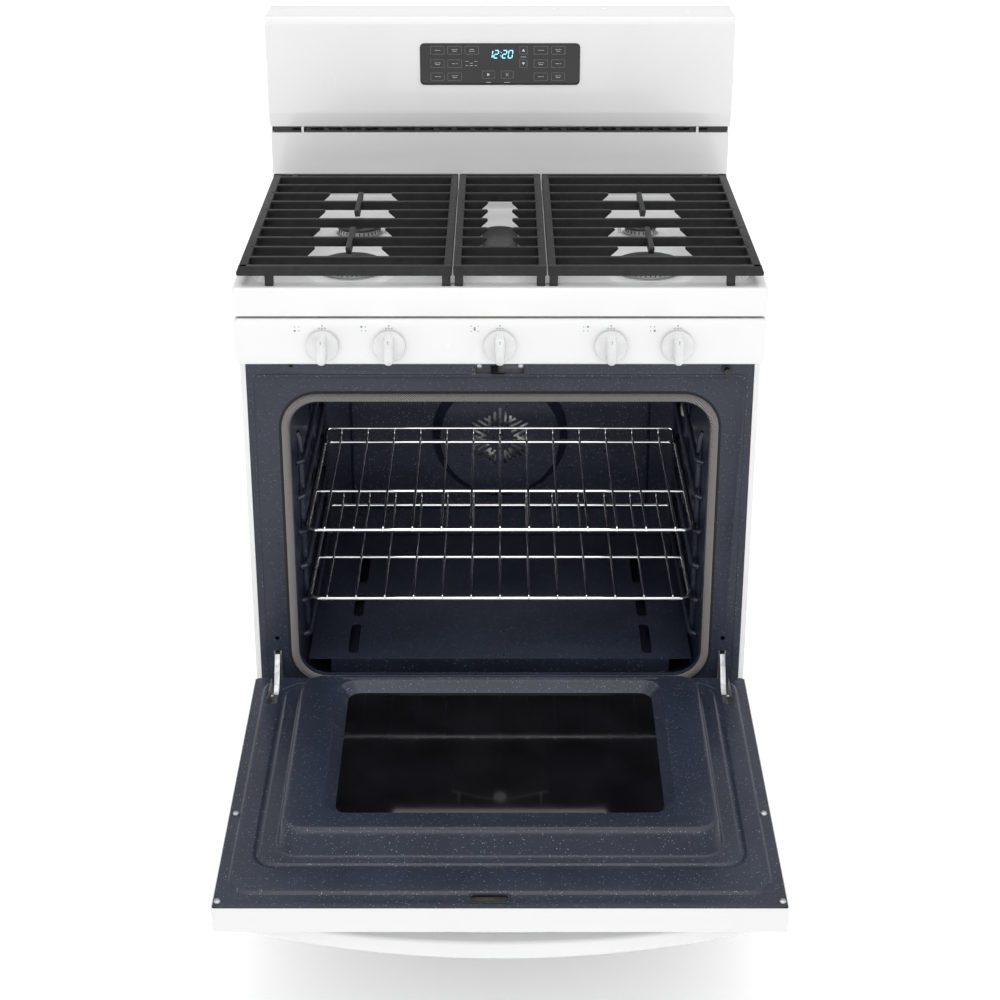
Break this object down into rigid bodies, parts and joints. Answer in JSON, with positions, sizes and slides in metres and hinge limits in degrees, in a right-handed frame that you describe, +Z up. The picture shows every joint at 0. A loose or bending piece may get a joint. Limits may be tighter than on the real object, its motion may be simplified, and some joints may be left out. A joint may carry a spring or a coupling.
{
  "type": "freestanding gas range",
  "caption": "Freestanding white gas range: cooktop with cast grates, knob panel, drop-down oven door, wire racks, convection fan, storage drawer and backguard with clock.",
  "frame": {"origin": "centre of the footprint box on the floor, oven door open", "axes": "+Z up, +X to the right seen from the front, the front faces -Y"},
  "size_m": [0.759, 1.1826, 1.191],
  "materials": {
    "black_cap": "satin black porcelain enamel",
    "black_glass": "gloss black tempered glass",
    "black_plastic": "matte black",
    "blue_porcelain": "dark blue porcelain enamel with fine pale speckle",
    "board": "circuit board",
    "brass": "machined brass",
    "burner_alu": "cast, lightly satin",
    "cast_grate": "matte black enamelled cast iron",
    "ceramic_white": "glazed white",
    "dark_frame": "dark powder coat",
    "fan_steel": "stamped sheet",
    "fibre": "mineral fibre blanket",
    "foot_plastic": "matte black",
    "galvanised": "galvanised sheet",
    "gasket": "woven glass fibre braid, taupe",
    "lamp_glass": "frosted glass cover",
    "rack_chrome": "bright plated wire",
    "steel_tube": "heat dulled steel tube",
    "white_enamel": "glossy white baked enamel",
    "white_knob": "glossy white moulded plastic"
  },
  "bodies": {
    "chassis": {"side_panel_left": "white_enamel", "side_panel_right": "white_enamel", "rear_cover": "galvanised", "base_frame": "dark_frame", "levelling_legs": "foot_plastic", "drawer_rails": "galvanised", "oven_front_frame": "blue_porcelain", "oven_cavity": "blue_porcelain", "oven_bottom_panel": "blue_porcelain", "bake_burner": "steel_tube", "broil_burner": "steel_tube", "fan_cover": "blue_porcelain", "fan_motor": "galvanised", "oven_lamp": "lamp_glass", "oven_insulation": "fibre", "door_gasket": "gasket", "latch_plate": "galvanised", "door_switch_body": "black_plastic", "hinge_arms": "galvanised", "manifold_panel": "white_enamel", "gas_manifold": "brass", "gas_valves": "brass", "burner_tubes": "steel_tube", "cooktop": "white_enamel", "burner_heads": "burner_alu", "burner_caps": "black_cap", "spark_electrodes": "ceramic_white", "backguard_upper": "white_enamel", "backguard_lower": "white_enamel", "vent_grille": "dark_frame", "backguard_rear": "galvanised", "control_glass": "black_glass", "control_board": "board"},
    "oven_door": {"door_outer_panel": "white_enamel", "door_liner": "blue_porcelain", "door_inner_glass": "black_glass", "door_outer_glass": "black_glass", "door_insulation": "fibre", "door_handle": "white_enamel", "door_hinges": "galvanised"},
    "drawer": {"drawer_front": "white_enamel", "drawer_box": "dark_frame"},
    "fan_rotor": {"convection_fan": "fan_steel"},
    "latch": {"latch_hook": "black_plastic"},
    "switch_plunger": {"door_switch_plunger": "black_plastic"},
    "left_grate": {"grate_left": "cast_grate"},
    "center_grate": {"grate_center": "cast_grate"},
    "right_grate": {"grate_right": "cast_grate"},
    "upper_rack": {"rack_upper": "rack_chrome"},
    "lower_rack": {"rack_lower": "rack_chrome"},
    "valve_stem_1": {"stem_1": "brass"},
    "control_knob_1": {"knob_1": "white_knob"},
    "valve_stem_2": {"stem_2": "brass"},
    "control_knob_2": {"knob_2": "white_knob"},
    "valve_stem_3": {"stem_3": "brass"},
    "control_knob_3": {"knob_3": "white_knob"},
    "valve_stem_4": {"stem_4": "brass"},
    "control_knob_4": {"knob_4": "white_knob"},
    "valve_stem_5": {"stem_5": "brass"},
    "control_knob_5": {"knob_5": "white_knob"}
  },
  "joints": [
    {"name": "oven_door_swing", "type": "hinge", "parent": "chassis", "child": "oven_door", "pos_m": [0, -0.0467, 0.25], "axis": [-1, 0, 0], "range_deg": [0, 94]},
    {"name": "drawer_slide", "type": "slide", "parent": "chassis", "child": "drawer", "axis": [0, -1, 0], "range_m": [0, 0.3]},
    {"name": "upper_rack_slide", "type": "slide", "parent": "chassis", "child": "upper_rack", "axis": [0, 1, 0], "range_m": [-0.3, 0]},
    {"name": "lower_rack_slide", "type": "slide", "parent": "chassis", "child": "lower_rack", "axis": [0, 1, 0], "range_m": [-0.3, 0]},
    {"name": "left_grate_lift", "type": "slide", "parent": "chassis", "child": "left_grate", "axis": [0, 0, 1], "range_m": [0, 0.1]},
    {"name": "center_grate_lift", "type": "slide", "parent": "chassis", "child": "center_grate", "axis": [0, 0, 1], "range_m": [0, 0.1]},
    {"name": "right_grate_lift", "type": "slide", "parent": "chassis", "child": "right_grate", "axis": [0, 0, 1], "range_m": [0, 0.1]},
    {"name": "fan_spin", "type": "hinge", "parent": "chassis", "child": "fan_rotor", "pos_m": [0, 0.4863, 0.477], "axis": [0, 1, 0], "continuous": true},
    {"name": "latch_turn", "type": "hinge", "parent": "chassis", "child": "latch", "pos_m": [-0.008, 0.0133, 0.774], "axis": [0, 0, 1], "range_deg": [0, 15]},
    {"name": "door_switch_press", "type": "slide", "parent": "chassis", "child": "switch_plunger", "axis": [0, 1, 0], "range_m": [0, 0.0061]},
    {"name": "knob_push_1", "type": "slide", "parent": "chassis", "child": "valve_stem_1", "axis": [0, 1, 0], "range_m": [0, 0.003], "stiffness_N_per_m": 400, "springref_m": -0.004},
    {"name": "knob_turn_1", "type": "hinge", "parent": "valve_stem_1", "child": "control_knob_1", "pos_m": [-0.253, -0.0622, 0.829], "axis": [0, -1, 0], "range_deg": [0, 250]},
    {"name": "knob_push_2", "type": "slide", "parent": "chassis", "child": "valve_stem_2", "axis": [0, 1, 0], "range_m": [0, 0.003], "stiffness_N_per_m": 400, "springref_m": -0.004},
    {"name": "knob_turn_2", "type": "hinge", "parent": "valve_stem_2", "child": "control_knob_2", "pos_m": [-0.158, -0.0622, 0.829], "axis": [0, -1, 0], "range_deg": [0, 250]},
    {"name": "knob_push_3", "type": "slide", "parent": "chassis", "child": "valve_stem_3", "axis": [0, 1, 0], "range_m": [0, 0.003], "stiffness_N_per_m": 400, "springref_m": -0.004},
    {"name": "knob_turn_3", "type": "hinge", "parent": "valve_stem_3", "child": "control_knob_3", "pos_m": [0, -0.0622, 0.829], "axis": [0, -1, 0], "range_deg": [0, 250]},
    {"name": "knob_push_4", "type": "slide", "parent": "chassis", "child": "valve_stem_4", "axis": [0, 1, 0], "range_m": [0, 0.003], "stiffness_N_per_m": 400, "springref_m": -0.004},
    {"name": "knob_turn_4", "type": "hinge", "parent": "valve_stem_4", "child": "control_knob_4", "pos_m": [0.158, -0.0622, 0.829], "axis": [0, -1, 0], "range_deg": [0, 250]},
    {"name": "knob_push_5", "type": "slide", "parent": "chassis", "child": "valve_stem_5", "axis": [0, 1, 0], "range_m": [0, 0.003], "stiffness_N_per_m": 400, "springref_m": -0.004},
    {"name": "knob_turn_5", "type": "hinge", "parent": "valve_stem_5", "child": "control_knob_5", "pos_m": [0.253, -0.0622, 0.829], "axis": [0, -1, 0], "range_deg": [0, 250]}
  ],
  "couplings": [
    {"joint": "door_switch_press", "follows": "oven_door_swing", "m_per_rad": 0.0036572}
  ]
}
